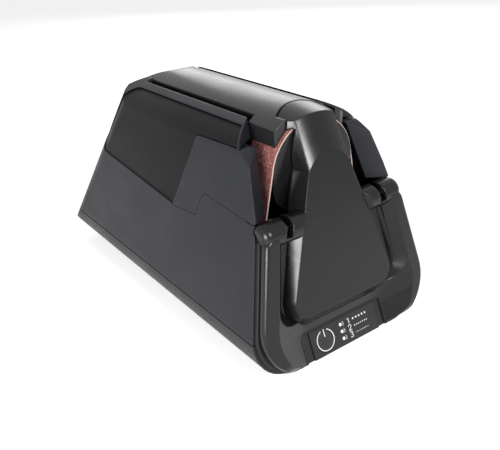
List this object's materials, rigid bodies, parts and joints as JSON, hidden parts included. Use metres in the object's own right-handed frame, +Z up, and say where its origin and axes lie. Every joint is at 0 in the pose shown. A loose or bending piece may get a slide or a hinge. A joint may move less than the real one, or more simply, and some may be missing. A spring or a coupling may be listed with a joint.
{
  "type": "electric knife sharpener",
  "caption": "Countertop electric knife sharpener: tapered housing, narrow abrasive belt over a front wheel, a blade slot on either side, lift-off cover, front pillar and power key.",
  "frame": {"origin": "on the floor under the middle of the machine", "axes": "+Z up, the front with its control panel faces -Y, +X is to the right seen from the front"},
  "size_m": [0.1278, 0.258, 0.1406],
  "materials": {
    "side_plastic": "fine texture",
    "panel_plastic": "fine diagonal ribs",
    "bezel_plastic": "satin",
    "cover_plastic": "satin",
    "inner_plastic": "plain",
    "foot_rubber": "plain",
    "abrasive": "bonded grit",
    "tyre_rubber": "plain",
    "disc_plastic": "polished",
    "lens_plastic": "polished",
    "key_plastic": "satin",
    "light_pipe": "clear",
    "steel": "plain",
    "spring_steel": "plain",
    "armature_steel": "plain",
    "brass": "plain",
    "board": "printed board",
    "parts": "plain",
    "ceramic_rod": "polished",
    "aluminium": "turned"
  },
  "bodies": {
    "housing": {"base_tray": "inner_plastic", "left_side_shell": "side_plastic", "right_side_shell": "side_plastic", "left_ribbed_panel": "panel_plastic", "right_ribbed_panel": "panel_plastic", "left_edge_guide": "side_plastic", "right_edge_guide": "side_plastic", "left_slot_liner": "inner_plastic", "right_slot_liner": "inner_plastic", "front_frame": "inner_plastic", "front_bezel": "bezel_plastic", "pillar_cover": "bezel_plastic", "left_stop_rod": "ceramic_rod", "right_stop_rod": "ceramic_rod", "rubber_feet": "foot_rubber", "case_screws": "steel", "bezel_screws": "steel", "chassis_bulkhead": "inner_plastic", "abrasive_belt": "abrasive", "wheel_axle": "steel", "wheel_screw": "steel", "motor_can": "steel", "motor_front_cap": "inner_plastic", "motor_rear_cap": "inner_plastic", "motor_brushes": "brass", "motor_screws": "steel", "pivot_pin": "steel", "tension_spring": "spring_steel", "panel_lens": "lens_plastic", "panel_carrier": "inner_plastic", "light_pipes": "light_pipe", "key_switch": "parts", "control_board": "board", "speed_board": "board", "board_parts": "parts", "inlet_socket": "inner_plastic", "inlet_pin": "brass"},
    "wheel": {"wheel_hub": "inner_plastic", "wheel_tyre": "tyre_rubber", "wheel_disc": "disc_plastic", "wheel_bearings": "steel"},
    "drive": {"motor_shaft": "steel", "motor_armature": "armature_steel", "commutator": "brass", "cooling_fan": "inner_plastic", "drive_pulley": "aluminium"},
    "arm": {"tension_arm": "steel", "idler_axle": "steel"},
    "idler": {"idler_pulley": "aluminium", "idler_bearings": "steel"},
    "power_key": {"power_key": "key_plastic"},
    "cover": {"guide_cover": "cover_plastic", "cover_pegs": "cover_plastic"}
  },
  "joints": [
    {"name": "drive_spin", "type": "hinge", "parent": "housing", "child": "drive", "pos_m": [-0.0285, -0.0813, 0.045], "axis": [0, 1, 0], "continuous": true},
    {"name": "wheel_spin", "type": "hinge", "parent": "housing", "child": "wheel", "pos_m": [0, -0.0813, 0.1063], "axis": [0, 1, 0], "continuous": true},
    {"name": "arm_swing", "type": "hinge", "parent": "housing", "child": "arm", "pos_m": [0.012, -0.0666, 0.02], "axis": [0, -1, 0], "range_deg": [0, 8], "stiffness_Nm_per_rad": 0.15, "springref_deg": -34.38, "deforming": ["tension_spring"]},
    {"name": "idler_spin", "type": "hinge", "parent": "arm", "child": "idler", "pos_m": [0.0285, -0.0813, 0.045], "axis": [0, 1, 0], "continuous": true},
    {"name": "power_key_press", "type": "slide", "parent": "housing", "child": "power_key", "axis": [0, 0.9131, -0.4077], "range_m": [0, 0.001], "stiffness_N_per_m": 300, "springref_m": -0.001},
    {"name": "cover_lift", "type": "slide", "parent": "housing", "child": "cover", "axis": [0, 0, 1], "range_m": [0, 0.1]}
  ],
  "couplings": [
    {"joint": "wheel_spin", "follows": "drive_spin", "ratio": 0.44406},
    {"joint": "idler_spin", "follows": "drive_spin", "ratio": 1}
  ]
}
